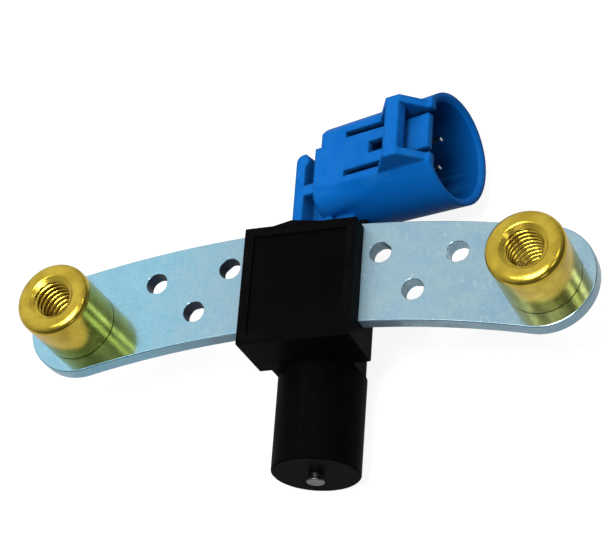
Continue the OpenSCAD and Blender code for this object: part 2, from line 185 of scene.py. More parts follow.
def surface_mesh(name: str, points: Array, faces: list[Array]) -> bpy.types.Mesh:
    """Makes a mesh from points in millimetres.

    Args:
        name: The mesh's name.
        points: One row of X, Y, Z for each point.
        faces: Blocks of triangles or quads, each an array of point numbers.

    Returns:
        The mesh, smooth shaded.
    """
    mesh = bpy.data.meshes.new(name)
    polygons = [polygon for block in faces for polygon in block.tolist()]
    mesh.from_pydata((points * MM).tolist(), [], polygons)
    mesh.shade_smooth()
    mesh.update()
    return mesh


def add_uv(mesh: bpy.types.Mesh, values: Array) -> None:
    """Gives every point of a mesh its own UV.

    Args:
        mesh: The mesh.
        values: One row of U and V for each point.
    """
    layer = mesh.uv_layers.new(name="along")
    corner_points = np.empty(len(mesh.loops), dtype=np.int32)
    mesh.loops.foreach_get("vertex_index", corner_points)
    layer.data.foreach_set("uv", values[corner_points].astype(np.float32).ravel())


def merge_points(mesh: bpy.types.Mesh, distance: float) -> None:
    """Merges points that lie together and drops faces that this leaves without area.

    Args:
        mesh: The mesh to change.
        distance: Points closer than this, in metres, become one.
    """
    work = bmesh.new()
    work.from_mesh(mesh)
    bmesh.ops.remove_doubles(work, verts=work.verts, dist=distance)
    bmesh.ops.dissolve_degenerate(work, edges=work.edges, dist=distance)
    work.to_mesh(mesh)
    work.free()


def turned_piece(name: str, radius: Array, height: Array, axis: Axis, centre: Vector) -> Piece:
    """Makes a turned piece from its radius on a grid of heights and angles.

    The point of row i and column j stands at radius[i, j] from the axis, at height[i] along it and at
    the angle 360 degrees * j / columns round it. Its UV is that share of a turn and the distance
    along the profile in millimetres.

    Args:
        name: The piece's name.
        radius: Radius in millimetres, one row for each height and one column for each angle.
        height: Height in millimetres of every row.
        axis: The axis that the piece is turned about.
        centre: The point on that axis, in millimetres, that heights are measured from.

    Returns:
        The new piece.
    """
    rows, cols = radius.shape
    angle = np.arange(cols) * (2.0 * math.pi / cols)
    across = radius * np.cos(angle)
    beside = radius * np.sin(angle)
    level = np.repeat(height[:, None], cols, axis=1)
    if axis is Axis.ALONG_Z:
        points = np.stack([across, beside, level], axis=-1)
    else:
        points = np.stack([across, level, -beside], axis=-1)
    points = points.reshape(-1, 3) + np.array(centre)
    mesh = surface_mesh(name, points, [grid_quads(rows, cols)])
    share = np.repeat(np.arange(cols)[None, :] / cols, rows, axis=0)
    steps = np.hypot(np.diff(radius.mean(axis=1)), np.diff(height))
    along = np.concatenate([[0.0], np.cumsum(steps)])
    length = np.repeat(along[:, None], cols, axis=1)
    add_uv(mesh, np.stack([share, length], axis=-1).reshape(-1, 2))
    merge_points(mesh, TURNED_MERGE)
    mesh.set_sharp_from_angle(angle=CORNER_ANGLE)
    return new_piece(name, mesh)


def fill_profile(corners: Array, step: float) -> Array:
    """Adds samples along a profile so that no stretch is longer than a step.

    Args:
        corners: The profile's corners, one row of radius and height each.
        step: Longest stretch in millimetres.

    Returns:
        The filled profile.
    """
    gap = np.linalg.norm(np.diff(corners, axis=0), axis=1)
    reach = np.concatenate([[0.0], np.cumsum(gap)])
    counts = (gap / step).astype(int) + 2
    extra = np.concatenate([np.linspace(*ends) for ends in zip(reach[:-1], reach[1:], counts)])
    where = np.unique(np.round(extra, 6))
    return np.stack([np.interp(where, reach, corners[:, k]) for k in (0, 1)], axis=-1)


def softened_copy(node: str, name: str, width: float, segments: int) -> Piece:
    """Copies a CAD node's mesh, merges its loose triangles and rounds its edges with a Bevel.

    Args:
        node: The CAD node to copy and to stand for.
        name: The new piece's name.
        width: Width of the rounding in millimetres.
        segments: Number of stretches in the rounding.

    Returns:
        The new piece, which replaces the node.
    """
    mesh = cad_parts[node].data.copy()
    mesh.name = name
    mesh.materials.clear()
    work = bmesh.new()
    work.from_mesh(mesh)
    bmesh.ops.remove_doubles(work, verts=work.verts, dist=CAD_MERGE)
    bmesh.ops.dissolve_limit(work, angle_limit=FLAT_ANGLE, verts=work.verts, edges=work.edges)
    work.to_mesh(mesh)
    work.free()
    mesh.shade_smooth()
    piece = new_piece(name, mesh)
    bevel = piece.modifiers.new("soft_edges", "BEVEL")
    bevel.width = width * MM
    bevel.segments = segments
    bevel.limit_method = "ANGLE"
    bevel.angle_limit = ROUNDED_ANGLE
    bevel.use_clamp_overlap = True
    weight = piece.modifiers.new("flat_faces", "WEIGHTED_NORMAL")
    weight.keep_sharp = False
    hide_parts(node)
    return piece


class Sheet:
    """Adds and links nodes in one shader tree."""

    def __init__(self, tree: bpy.types.NodeTree) -> None:
        """Keeps the tree that nodes are added to."""
        self.tree = tree

    def add(self, kind: str, inputs: dict[Any, Any] | None = None, **settings: Any) -> bpy.types.Node:
        """Adds a node.

        Args:
            kind: The node's type.
            inputs: What its inputs are fed with.
            settings: Properties of the node itself.

        Returns:
            The new node.
        """
        node = self.tree.nodes.new(kind)
        for key, value in settings.items():
            setattr(node, key, value)
        self.feed(node, inputs or {})
        return node

    def feed(self, node: bpy.types.Node, inputs: dict[Any, Any]) -> None:
        """Sets or links inputs of a node.

        Args:
            node: The node.
            inputs: For each input, by name or number, a value to set or a socket to link.
        """
        for key, value in inputs.items():
            if isinstance(value, Socket):
                self.tree.links.new(value, node.inputs[key])
            else:
                node.inputs[key].default_value = value

    def spread(self, value: Any, low: Any, high: Any, to_low: Any, to_high: Any) -> Socket:
        """Maps a value from one range to another, held at the ends.

        Args:
            value: The value's socket.
            low: Value that gives to_low, a number or a socket.
            high: Value that gives to_high, a number or a socket.
            to_low: Result at the low end, a number or a socket.
            to_high: Result at the high end, a number or a socket.

        Returns:
            The socket of the result.
        """
        numbers = {"Value": value, "From Min": low, "From Max": high, "To Min": to_low, "To Max": to_high}
        return self.add("ShaderNodeMapRange", numbers).outputs["Result"]

    def math(self, operation: str, first: Any, second: Any) -> Socket:
        """Works out one sum or product of two values or sockets and returns its socket."""
        return self.add("ShaderNodeMath", {0: first, 1: second}, operation=operation).outputs[0]

    def weigh(self, first: Any, weight: float, second: Any) -> Socket:
        """Adds a weight of the first value to the rest of the second.

        Args:
            first: The first value's socket.
            weight: Its weight, from 0 to 1.
            second: The second value's socket, which has the rest of the weight.

        Returns:
            The socket of the sum.
        """
        rest = self.math("MULTIPLY", second, 1.0 - weight)
        return self.math("ADD", self.math("MULTIPLY", first, weight), rest)

    def noise(self, place: Any, scale: Any, **numbers: float) -> Socket:
        """Adds a noise in space; nearly all of its values lie between 0.3 and 0.7.

        Args:
            place: The socket of the point.
            scale: How many blots there are to a metre, a number or a socket.
            numbers: The texture's other inputs, by their names in small letters.

        Returns:
            The socket of the value.
        """
        inputs = {"Vector": place, "Scale": scale}
        inputs.update({name.capitalize(): number for name, number in numbers.items()})
        return self.add("ShaderNodeTexNoise", inputs).outputs["Fac"]

    def blend(self, share: Socket, first: Any, second: Any) -> Socket:
        """Mixes two colours by a share from 0 to 1.

        Args:
            share: Socket of the share of the second colour.
            first: The first colour, linear values or a socket.
            second: The second colour, linear values or a socket.

        Returns:
            The socket of the mixed colour.
        """
        ends = [end if isinstance(end, Socket) else (*end, 1.0) for end in (first, second)]
        inputs = {"Factor": share, 6: ends[0], 7: ends[1]}
        return self.add("ShaderNodeMix", inputs, data_type="RGBA").outputs[2]


def new_material(name: str) -> tuple[bpy.types.Material, Sheet, bpy.types.Node]:
    """Starts a material.

    Args:
        name: The material's name.

    Returns:
        The material, the sheet of its nodes and its shader.
    """
    material = bpy.data.materials.new(name)
    material.use_nodes = True
    return material, Sheet(material.node_tree), material.node_tree.nodes["Principled BSDF"]


class Effect(Enum):
    """The shared surface effects, each a shader node group built once."""

    MOULDED_GRAIN = "moulded_grain"
    TURNED_MARKS = "turned_marks"
    PLATED_MOTTLE = "plated_mottle"
    # Lighter outer edges: partly rubbed wear, partly painted highlight
    EDGE_WEAR_AND_HIGHLIGHT = "edge_wear_and_highlight"


# What a face's effect takes, two scales and two ends of roughness, and what it gives
FACE_INPUTS = ["Fine", "Slow", "Smooth", "Rough"]
FACE_OUTPUTS = ["Tint", "Gloss", "Height"]


class EffectKit:
    """Builds the shared node groups and places them in materials."""

    def __init__(self) -> None:
        """Builds every group once."""
        self.groups: dict[Effect, bpy.types.NodeTree] = {
            Effect.MOULDED_GRAIN: self._moulded_grain(),
            Effect.TURNED_MARKS: self._turned_marks(),
            Effect.PLATED_MOTTLE: self._plated_mottle(),
            Effect.EDGE_WEAR_AND_HIGHLIGHT: self._edge_wear_and_highlight(),
        }

    @staticmethod
    def _group(effect: Effect, inputs: list[str], outputs: list[str]) -> tuple[Sheet, Any, Any]:
        """Starts a group with named number sockets.

        Args:
            effect: The effect that the group is for.
            inputs: Every input's name.
            outputs: Every output's name.

        Returns:
            The group's sheet, the sockets it takes values from and the node it gives results to.
        """
        tree = bpy.data.node_groups.new(effect.value, "ShaderNodeTree")
        for way, names in (("INPUT", inputs), ("OUTPUT", outputs)):
            for name in names:
                tree.interface.new_socket(name, in_out=way, socket_type="NodeSocketFloat")
        sheet = Sheet(tree)
        return sheet, sheet.add("NodeGroupInput").outputs, sheet.add("NodeGroupOutput")

    def _moulded_grain(self) -> bpy.types.NodeTree:
        """Builds the fine grain of a moulded face with the slow drift of the melt in its tint and gloss.

        Returns:
            The group, with Tint, Gloss and Height outputs.
        """
        sheet, taken, given = self._group(Effect.MOULDED_GRAIN, FACE_INPUTS, FACE_OUTPUTS)
        place = sheet.add("ShaderNodeTexCoord").outputs["Object"]
        grain = sheet.noise(place, taken["Fine"], detail=3.0, roughness=0.6)
        drift = sheet.noise(place, taken["Slow"], detail=4.0, roughness=0.55, distortion=0.5)
        tint = sheet.spread(drift, 0.3, 0.7, 0.0, 1.0)
        both = sheet.weigh(grain, 0.5, drift)
        gloss = sheet.spread(both, 0.36, 0.64, taken["Smooth"], taken["Rough"])
        sheet.feed(given, {"Tint": tint, "Gloss": gloss, "Height": grain})
        return sheet.tree

    def _turned_marks(self) -> bpy.types.NodeTree:
        """Builds the fine rings a lathe tool leaves, which run across the piece's V, and slow tarnish.

        Returns:
            The group, with Tint, Gloss and Height outputs.
        """
        sheet, taken, given = self._group(Effect.TURNED_MARKS, FACE_INPUTS, FACE_OUTPUTS)
        coordinates = sheet.add("ShaderNodeTexCoord")
        along = sheet.add("ShaderNodeSeparateXYZ", {0: coordinates.outputs["UV"]}).outputs["Y"]
        line = {"W": along, "Scale": taken["Fine"], "Detail": 4.0, "Roughness": 0.7}
        rings = sheet.add("ShaderNodeTexNoise", line, noise_dimensions="1D").outputs["Fac"]
        place = coordinates.outputs["Object"]
        tarnish = sheet.noise(place, taken["Slow"], detail=5.0, roughness=0.6)
        tint = sheet.spread(tarnish, 0.32, 0.68, 0.0, 1.0)
        both = sheet.weigh(rings, 0.55, tarnish)
        gloss = sheet.spread(both, 0.35, 0.65, taken["Smooth"], taken["Rough"])
        sheet.feed(given, {"Tint": tint, "Gloss": gloss, "Height": rings})
        return sheet.tree

    def _plated_mottle(self) -> bpy.types.NodeTree:
        """Builds the speckle of a plated face: fine crystals over clouds of brighter and duller metal.

        Where Fade is above 0, the plating turns greyer from fade_from to fade_to along X, has more pale
        flecks there, and is matt beside the body, from dull_to down to dull_from, where the mask also lays a
        painted shade. The clouds shift these borders by up to border_drift either way. All five are in
        metres.

        Returns:
            The group, with Tint, Gloss, Height, Faded, Fleck and Dull outputs.
        """
        fade_from, fade_to = -0.03, -0.008
        dull_from, dull_to = 0.014, 0.03
        border_drift = 0.006
        dull_roughness = 0.32
        fleck_scale = 620.0
        outputs = [*FACE_OUTPUTS, "Faded", "Fleck", "Matt_and_shade"]
        sheet, taken, given = self._group(Effect.PLATED_MOTTLE, [*FACE_INPUTS, "Fade"], outputs)
        place = sheet.add("ShaderNodeTexCoord").outputs["Object"]
        speckle = sheet.noise(place, taken["Fine"], detail=2.0, roughness=0.5)
        clouds = sheet.noise(place, taken["Slow"], detail=5.0, roughness=0.6, distortion=0.4)
        both = sheet.weigh(speckle, 0.4, clouds)
        tint = sheet.spread(both, 0.37, 0.63, 0.0, 1.0)
        across = sheet.add("ShaderNodeSeparateXYZ", {0: place}).outputs["X"]
        moved = sheet.math("ADD", across, sheet.spread(clouds, 0.3, 0.7, -border_drift, border_drift))
        faded = sheet.math("MULTIPLY", sheet.spread(moved, fade_from, fade_to, 0.0, 1.0), taken["Fade"])
        # Matt strip beside the body, whose mask also lays a painted shade on the plating
        matt_and_shade = sheet.math("MULTIPLY", sheet.spread(moved, dull_from, dull_to, 1.0, 0.0), faded)
        shine = sheet.spread(both, 0.35, 0.65, taken["Rough"], taken["Smooth"])
        gloss = sheet.math("ADD", shine, sheet.math("MULTIPLY", matt_and_shade, dull_roughness))
        spots = sheet.noise(place, fleck_scale, detail=4.0, roughness=0.65, distortion=0.8)
        thick = sheet.spread(faded, 0.0, 1.0, 0.35, 1.0)
        fleck = sheet.math("MULTIPLY", sheet.spread(spots, 0.6, 0.76, 0.0, 0.8), thick)
        sheet.feed(given, dict(zip(outputs, (tint, gloss, speckle, faded, fleck, matt_and_shade))))
        return sheet.tree

    def _edge_wear_and_highlight(self) -> bpy.types.NodeTree:
        """Builds the mask of outer edges, broken up by noise, partly rubbed by handling and partly a painted
        highlight.

        Pointiness is 0.5 on a flat face and more on an outer edge.

        Returns:
            The group, with a Mask output.
        """
        flat = 0.5
        reach = 0.06
        patch_scale = 420.0
        sheet, taken, given = self._group(Effect.EDGE_WEAR_AND_HIGHLIGHT, ["Strength"], ["Mask"])
        place = sheet.add("ShaderNodeTexCoord").outputs["Object"]
        bend = sheet.add("ShaderNodeNewGeometry").outputs["Pointiness"]
        edge = sheet.spread(bend, flat, flat + reach, 0.0, 1.0)
        patch = sheet.noise(place, patch_scale, detail=3.0, roughness=0.6)
        broken = sheet.spread(patch, 0.3, 0.65, 0.25, 1.0)
        mask = sheet.math("MULTIPLY", sheet.math("MULTIPLY", edge, broken), taken["Strength"])
        sheet.feed(given, {"Mask": mask})
        return sheet.tree

    def place(self, sheet: Sheet, effect: Effect, values: dict[str, float]) -> bpy.types.Node:
        """Places an effect's group in a material's sheet with these input values and returns its node."""
        return sheet.add("ShaderNodeGroup", values, node_tree=self.groups[effect])


# Where a plating is matt beside the body, a painted shade takes it this far towards this tint; it is also
# less of a metal
MATT_SHADE_SHARE = 0.3
MATT_SHADE_TINT: Colour = (0.0, 0.02, 0.05)
DULL_METALLIC = 0.45
# A cut edge is rougher than the faces by this much
CUT_ROUGHNESS = 0.25
# Painted shade in hollows: walls within this many millimetres hide the sky; between the two shares of open
# sky a colour goes from this far towards the tint of painted shade to not at all
RECESS_SHADE_REACH = 26.0
DEEP_SKY = 0.2
OPEN_SKY = 0.76
RECESS_SHADE_SHARE = 0.78
# How many rays look for the edges near a point, and how many for its open sky
EDGE_SAMPLES = 6
SKY_SAMPLES = 8


@dataclass(frozen=True)
class Finish:
    """One finish: a Principled shader whose colour, gloss and relief come from a shared effect.

    Attributes:
        name: The material's name.
        dark: The deeper of its two tints.
        light: The brighter of its two tints.
        metallic: 1 for metal, 0 for plastic.
        effect: The effect that its tint, gloss and relief follow.
        fine: Scale of the effect's fine noise: blots to a metre, or turned rings to a millimetre.
        slow: Scale of its slow noise, in blots to a metre.
        smooth: Roughness where the face is smoothest.
        rough: Roughness where it is roughest.
        relief: Height of the relief in millimetres.
        wear_and_highlight: Tint of outer edges, part rubbed wear, part painted highlight; None for plain
            edges.
        wear_and_highlight_strength: How far those edges go to that tint.
        specular: Specular level of a plastic.
        faded: The two tints of the duller side of a plating, or None where it is the same all over.
        fleck: Tint of the pale flecks, which are thickest on that side.
        raw_edge_and_shade: Tint of the sheet's sheared edges, partly duller bare metal and partly painted
            shade, which the piece marks with its raw_edge_shade_mask attribute, or None.
        soft: Radius in millimetres over which the shading runs round edges, 0 where it doesn't.
        recess_shade: Tint of the painted shade in the deepest hollows, or None where hollows are as the
            rest.
    """

    name: str
    dark: Colour
    light: Colour
    metallic: float
    effect: Effect
    fine: float
    slow: float
    smooth: float
    rough: float
    relief: float
    wear_and_highlight: Colour | None = None
    wear_and_highlight_strength: float = 0.5
    specular: float = 0.5
    faded: tuple[Colour, Colour] | None = None
    fleck: Colour = (0.8, 0.8, 0.8)
    raw_edge_and_shade: Colour | None = None
    soft: float = 0.0
    recess_shade: Colour | None = None

    def material(self, kit: EffectKit) -> bpy.types.Material:
        """Builds the material.

        Args:
            kit: The shared effects.

        Returns:
            The material.
        """
        material, sheet, shader = new_material(self.name)
        sheet.feed(shader, {"Metallic": self.metallic, "Specular IOR Level": self.specular})
        values = {"Fine": self.fine, "Slow": self.slow, "Smooth": self.smooth, "Rough": self.rough}
        effect = kit.place(sheet, self.effect, values)
        colour = sheet.blend(effect.outputs["Tint"], self.dark, self.light)
        gloss = effect.outputs["Gloss"]
        if self.faded is not None:
            sheet.feed(effect, {"Fade": 1.0})
            colour = self._fade(sheet, effect, colour)
            metallic = sheet.spread(effect.outputs["Matt_and_shade"], 0.0, 1.0, self.metallic, DULL_METALLIC)
            sheet.feed(shader, {"Metallic": metallic})
        # Sheared edges darker: partly duller bare metal, partly painted shade
        if self.raw_edge_and_shade is not None:
            mark = sheet.add("ShaderNodeAttribute", attribute_name="raw_edge_shade_mask").outputs["Fac"]
            colour = sheet.blend(mark, colour, self.raw_edge_and_shade)
            gloss = sheet.math("ADD", gloss, sheet.math("MULTIPLY", mark, CUT_ROUGHNESS))
        # Painted shade in hollows, darker where walls hide more of the sky
        if self.recess_shade is not None:
            colour = self._paint_recess_shade(sheet, colour)
        # Lighter outer edges: partly rubbed wear, partly painted highlight
        if self.wear_and_highlight is not None:
            wear_and_highlight = kit.place(sheet, Effect.EDGE_WEAR_AND_HIGHLIGHT, {"Strength": self.wear_and_highlight_strength})
            colour = sheet.blend(wear_and_highlight.outputs["Mask"], colour, self.wear_and_highlight)
        height = {"Height": effect.outputs["Height"], "Strength": 1.0, "Distance": self.relief * MM}
        bump = sheet.add("ShaderNodeBump", height)
        if self.soft > 0.0:
            rounded = sheet.add("ShaderNodeBevel", {"Radius": self.soft * MM}, samples=EDGE_SAMPLES)
            sheet.feed(bump, {"Normal": rounded.outputs["Normal"]})
        sheet.feed(shader, {"Base Color": colour, "Roughness": gloss, "Normal": bump.outputs["Normal"]})
        return material

    def _fade(self, sheet: Sheet, effect: bpy.types.Node, colour: Socket) -> Socket:
        """Turns a plating to its faded tints, with pale flecks, and darkens it by a painted shade where it
        is matt.

        Args:
            sheet: The material's sheet.
            effect: The plating's effect.
            colour: Socket of the colour of the fresh plating.

        Returns:
            The socket of the colour.
        """
        faded = sheet.blend(effect.outputs["Tint"], *self.faded)
        colour = sheet.blend(effect.outputs["Faded"], colour, faded)
        colour = sheet.blend(effect.outputs["Fleck"], colour, self.fleck)
        # Painted shade on the plating beside the body
        painted_shade = sheet.math("MULTIPLY", effect.outputs["Matt_and_shade"], MATT_SHADE_SHARE)
        return sheet.blend(painted_shade, colour, MATT_SHADE_TINT)

    def _paint_recess_shade(self, sheet: Sheet, colour: Socket) -> Socket:
        """Paints shade into hollows: turns a colour to its tint as the share of open sky over the surface
        falls.

        Args:
            sheet: The material's sheet.
            colour: Socket of the colour out in the open.

        Returns:
            The socket of the colour.
        """
        reach = {"Distance": RECESS_SHADE_REACH * MM}
        sky = sheet.add("ShaderNodeAmbientOcclusion", reach, samples=SKY_SAMPLES, only_local=True)
        depth = sheet.spread(sky.outputs["AO"], DEEP_SKY, OPEN_SKY, RECESS_SHADE_SHARE, 0.0)
        return sheet.blend(depth, colour, self.recess_shade)


ZINC = Finish(
    "zinc_plating", (0.302, 0.605, 0.77), (0.38, 0.71, 0.875), 1.0, Effect.PLATED_MOTTLE,
    fine=1300.0, slow=210.0, smooth=0.08, rough=0.17, relief=0.0013,
    # The edge tint is partly duller bare metal, partly painted shade
    faded=((0.315, 0.515, 0.66), (0.425, 0.62, 0.69)), fleck=(0.62, 0.75, 0.78), raw_edge_and_shade=(0.02, 0.035, 0.06),
)
BRASS = Finish(
    "turned_brass", (0.47, 0.33, 0.034), (0.74, 0.55, 0.07), 1.0, Effect.TURNED_MARKS,
    fine=9.0, slow=220.0, smooth=0.14, rough=0.27, relief=0.004,
)
BLACK = Finish(
    "black_moulding", (0.0012, 0.0011, 0.0011), (0.0019, 0.0017, 0.0017), 0.0, Effect.MOULDED_GRAIN,
    fine=2600.0, slow=90.0, smooth=0.42, rough=0.58, relief=0.01,
    # Lighter edges: partly rubbed wear, partly painted highlight
    wear_and_highlight=linear(20, 20, 22), wear_and_highlight_strength=0.35, specular=0.015,
)
BLUE = Finish(
    "blue_moulding", (0.0018, 0.106, 0.43), (0.0026, 0.128, 0.5), 0.0, Effect.MOULDED_GRAIN,
    fine=3000.0, slow=70.0, smooth=0.32, rough=0.45, relief=0.006,
    # Lighter edges: partly rubbed wear, partly painted highlight; darker hollows: painted shade
    wear_and_highlight=linear(40, 125, 205), wear_and_highlight_strength=0.3, specular=0.015, soft=1.0, recess_shade=(0.0004, 0.02, 0.088),
)
TINNED = Finish(
    "tinned_terminal", linear(176, 172, 164), linear(226, 224, 218), 1.0, Effect.PLATED_MOTTLE,
    fine=3000.0, slow=400.0, smooth=0.14, rough=0.3, relief=0.002,
)
POLE_STEEL = Finish(
    "pole_steel", linear(80, 83, 83), linear(114, 117, 117), 1.0, Effect.TURNED_MARKS,
    fine=14.0, slow=500.0, smooth=0.2, rough=0.38, relief=0.004,
)
MAGNET_ALLOY = Finish(
    "magnet_alloy", linear(70, 70, 74), linear(104, 104, 108), 1.0, Effect.PLATED_MOTTLE,
    fine=2200.0, slow=300.0, smooth=0.4, rough=0.6, relief=0.006,
)
BOBBIN = Finish(
    "bobbin_plastic", linear(214, 206, 182), linear(230, 224, 204), 0.0, Effect.MOULDED_GRAIN,
    fine=2600.0, slow=120.0, smooth=0.4, rough=0.55, relief=0.006,
)
COPPER = Finish(
    "copper_wire", linear(150, 74, 40), linear(206, 116, 70), 1.0, Effect.PLATED_MOTTLE,
    fine=3600.0, slow=240.0, smooth=0.24, rough=0.4, relief=0.006,
)
TAPE = Finish(
    "winding_tape", linear(196, 168, 96), linear(216, 190, 120), 0.0, Effect.MOULDED_GRAIN,
    fine=1800.0, slow=160.0, smooth=0.3, rough=0.45, relief=0.004,
)
SOLDER = Finish(
    "solder", linear(150, 152, 156), linear(198, 200, 204), 1.0, Effect.PLATED_MOTTLE,
    fine=2400.0, slow=600.0, smooth=0.18, rough=0.34, relief=0.004,
)


class Dresser:
    """Makes each material once and puts it on pieces and CAD nodes."""

    def __init__(self, kit: EffectKit) -> None:
        """Keeps the shared effects."""
        self.kit = kit
        self.made: dict[str, bpy.types.Material] = {}

    def dress(self, piece: Piece, finish: Finish) -> None:
        """Gives a piece one finish all over.

        Args:
            piece: The piece or CAD node.
            finish: Its finish.
        """
        if finish.name not in self.made:
            self.made[finish.name] = finish.material(self.kit)
        material = self.made[finish.name]
        if len(piece.material_slots) == 0:
            piece.data.materials.append(material)
        for slot in piece.material_slots:
            slot.material = material


@dataclass
class BracketPlate:
    """The curved strip with round ends, six small holes and the seats of the two bushes; lengths in mm.

    The marks say how far a loop's upright wall goes to the tint of sheared edges, partly bare metal and
    partly painted shade: the outer edge's, and those of the holes on either side.
    """

    bush_pitch: float = BUSH_PITCH
    bend_r: float = 201.0
    width: float = 19.4
    thickness: float = PLATE_T
    hole_d: float = 4.0
    hole_start_angle: float = 4.05
    hole_step_angle: float = 2.02
    hole_offset: float = 3.7
    holes_per_arm: int = 3
    seat_d: float = 10.5
    key_hole_d: float = 7.0
    edge_r: float = 0.28
    hole_edge_r: float = 0.22
    edge_mark: float = 0.35
    left_hole_mark: float = 1.0
    right_hole_mark: float = 0.08
    arm_steps: int = 140
    cap_steps: int = 60
    hole_steps: int = 64
    edge_steps: int = 5

    @property
    def bend_centre_y(self) -> float:
        """Height of the bend's centre, from which the centreline passes through both bush axes."""
        return -math.sqrt(self.bend_r**2 - (self.bush_pitch / 2) ** 2)

    def outline(self) -> tuple[Array, Array]:
        """Works out the outer edge: two arcs about the bend's centre joined by half circles at the ends.

        Returns:
            The points, anticlockwise from the front, and the outward direction at each.
        """
        arm = math.asin(self.bush_pitch / 2 / self.bend_r)
        half = self.width / 2
        turn = np.linspace(-arm, arm, self.arm_steps + 1)[1:-1]
        cap = np.linspace(0.0, math.pi, self.cap_steps + 1)
        centre = np.array([0.0, self.bend_centre_y])
        outer_way = np.stack([np.sin(turn), np.cos(turn)], axis=-1)
        stretches: list[tuple[Array, Array]] = []
        for sign in (1, -1):
            middle = np.array([sign * self.bush_pitch / 2, 0.0])
            start = math.pi / 2 - sign * arm - (math.pi if sign > 0 else 0.0)
            way = np.stack([np.cos(start + cap), np.sin(start + cap)], axis=-1)
            stretches.append((middle + half * way, way))
            bend = outer_way[::-1] if sign > 0 else -outer_way
            radius = self.bend_r + sign * half
            stretches.append((centre + sign * radius * bend, bend))
        points = np.concatenate([stretch[0] for stretch in stretches])
        ways = np.concatenate([stretch[1] for stretch in stretches])
        return points, ways

    def round_holes(self) -> list[tuple[float, float, float]]:
        """Lists the round holes: the moulding's, the bush seats and the small ones in zigzag along the bend.

        Returns:
            X, Y and radius of each.
        """
        holes = [(0.0, self.bend_centre_y + self.bend_r, self.key_hole_d / 2)]
        for sign in (-1, 1):
            holes.append((sign * self.bush_pitch / 2, 0.0, self.seat_d / 2))
            for k in range(self.holes_per_arm):
                angle = math.radians(sign * (self.hole_start_angle + k * self.hole_step_angle))
                radius = self.bend_r + (self.hole_offset if k % 2 == 0 else -self.hole_offset)
                x = radius * math.sin(angle)
                y = self.bend_centre_y + radius * math.cos(angle)
                holes.append((x, y, self.hole_d / 2))
        return holes

    def rim(self, loop: Array, ways: Array, edge_r: float) -> tuple[Array, Array]:
        """Carries the sheet's edge profile, a wall with a quarter turn at each face, round one loop.

        A point of the profile with inset i and level z stands at loop - i * way, at z from the front face.

        Args:
            loop: The loop's points.
            ways: The direction out of the metal at each.
            edge_r: Radius of the quarter turns.

        Returns:
            The points and their normals, profile sample by profile sample from the front to the back.
        """
        inset, depth, angle = quarter_turn(edge_r, self.edge_steps)
        insets = np.concatenate([inset, inset[::-1]])
        levels = np.concatenate([-depth, depth[::-1] - self.thickness])
        out = np.concatenate([np.sin(angle), np.sin(angle[::-1])])
        up = np.concatenate([np.cos(angle), -np.cos(angle[::-1])])
        flat = loop[None, :, :] - insets[:, None, None] * ways[None, :, :]
        level = np.repeat(levels[:, None, None], len(loop), axis=1)
        points = np.concatenate([flat, level], axis=2).reshape(-1, 3)
        tilt = np.repeat(up[:, None, None], len(loop), axis=1)
        normals = np.concatenate([out[:, None, None] * ways[None, :, :], tilt], axis=2).reshape(-1, 3)
        return points, normals

    def build(self, dresser: Dresser) -> Piece:
        """Builds the plate: a rim round every loop, and flat faces between the rims.

        Its raw_edge_shade_mask attribute is 0 on the faces and rises to the loop's mark where the rim stands
        upright; it places the edge tint of bare metal and painted shade.

        Args:
            dresser: Puts the finish on.

        Returns:
            The new piece.
        """
        loops = [(*self.outline(), self.edge_r, self.edge_mark)]
        for x, y, radius in self.round_holes():
            turn = -np.linspace(0.0, 2.0 * math.pi, self.hole_steps + 1)[:-1]
            way = np.stack([np.cos(turn), np.sin(turn)], axis=-1)
            mark = self.left_hole_mark if x < 0.0 else self.right_hole_mark
            loops.append((np.array([x, y]) + radius * way, -way, self.hole_edge_r, mark))
        points: list[Array] = []
        normals: list[Array] = []
        marks: list[Array] = []
        faces: list[Array] = []
        front: list[Array] = []
        back: list[Array] = []
        borders: list[Array] = []
        first = 0
        border_first = 0
        for loop, ways, edge_r, mark in loops:
            spots, ups = self.rim(loop, ways, edge_r)
            count = len(loop)
            rows = len(spots) // count
            points.append(spots)
            normals.append(ups)
            marks.append(mark * (1.0 - np.abs(ups[:, 2])))
            faces.append(grid_quads(rows, count, first))
            front.append(first + np.arange(count))
            back.append(first + (rows - 1) * count + np.arange(count))
            order = np.arange(count) + border_first
            borders.append(np.stack([order, np.roll(order, -1)], axis=-1))
            first += len(spots)
            border_first += count
        spots = np.concatenate(points)
        front_ids = np.concatenate(front)
        back_ids = np.concatenate(back)
        triangles = self.flat_face(spots[front_ids, :2], np.concatenate(borders))
        faces.append(front_ids[triangles])
        faces.append(back_ids[triangles[:, ::-1]])
        mesh = surface_mesh("zinc_bracket", spots, faces)
        mesh.normals_split_custom_set_from_vertices(np.concatenate(normals).tolist())
        # Mask of the edge tint: partly bare metal, partly painted shade
        raw_edge_shade_mask = mesh.attributes.new("raw_edge_shade_mask", "FLOAT", "POINT")
        raw_edge_shade_mask.data.foreach_set("value", np.concatenate(marks).astype(np.float32))
        piece = new_piece("zinc_bracket", mesh)
        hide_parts("bracket_plate")
        dresser.dress(piece, ZINC)
        return piece

    def flat_face(self, spots: Array, borders: Array) -> Array:
        """Fills the flat face between the loops with triangles.

        Args:
            spots: X and Y of every point on the loops.
            borders: Pairs of point numbers along the loops.

        Returns:
            Triangles of point numbers, anticlockwise from the front, with none over a hole.
        """
        flat = [Vector(spot) for spot in spots.tolist()]
        found = delaunay_2d_cdt(flat, borders.tolist(), [], INSIDE_TRIANGLES, FILL_MERGE)
        source = np.array([ids[0] for ids in found[3]])
        triangles = source[np.array(found[2])]
        middle = spots[triangles].mean(axis=1)
        keep = np.ones(len(triangles), dtype=bool)
        for x, y, radius in self.round_holes():
            keep &= np.hypot(middle[:, 0] - x, middle[:, 1] - y) > radius
        return triangles[keep]


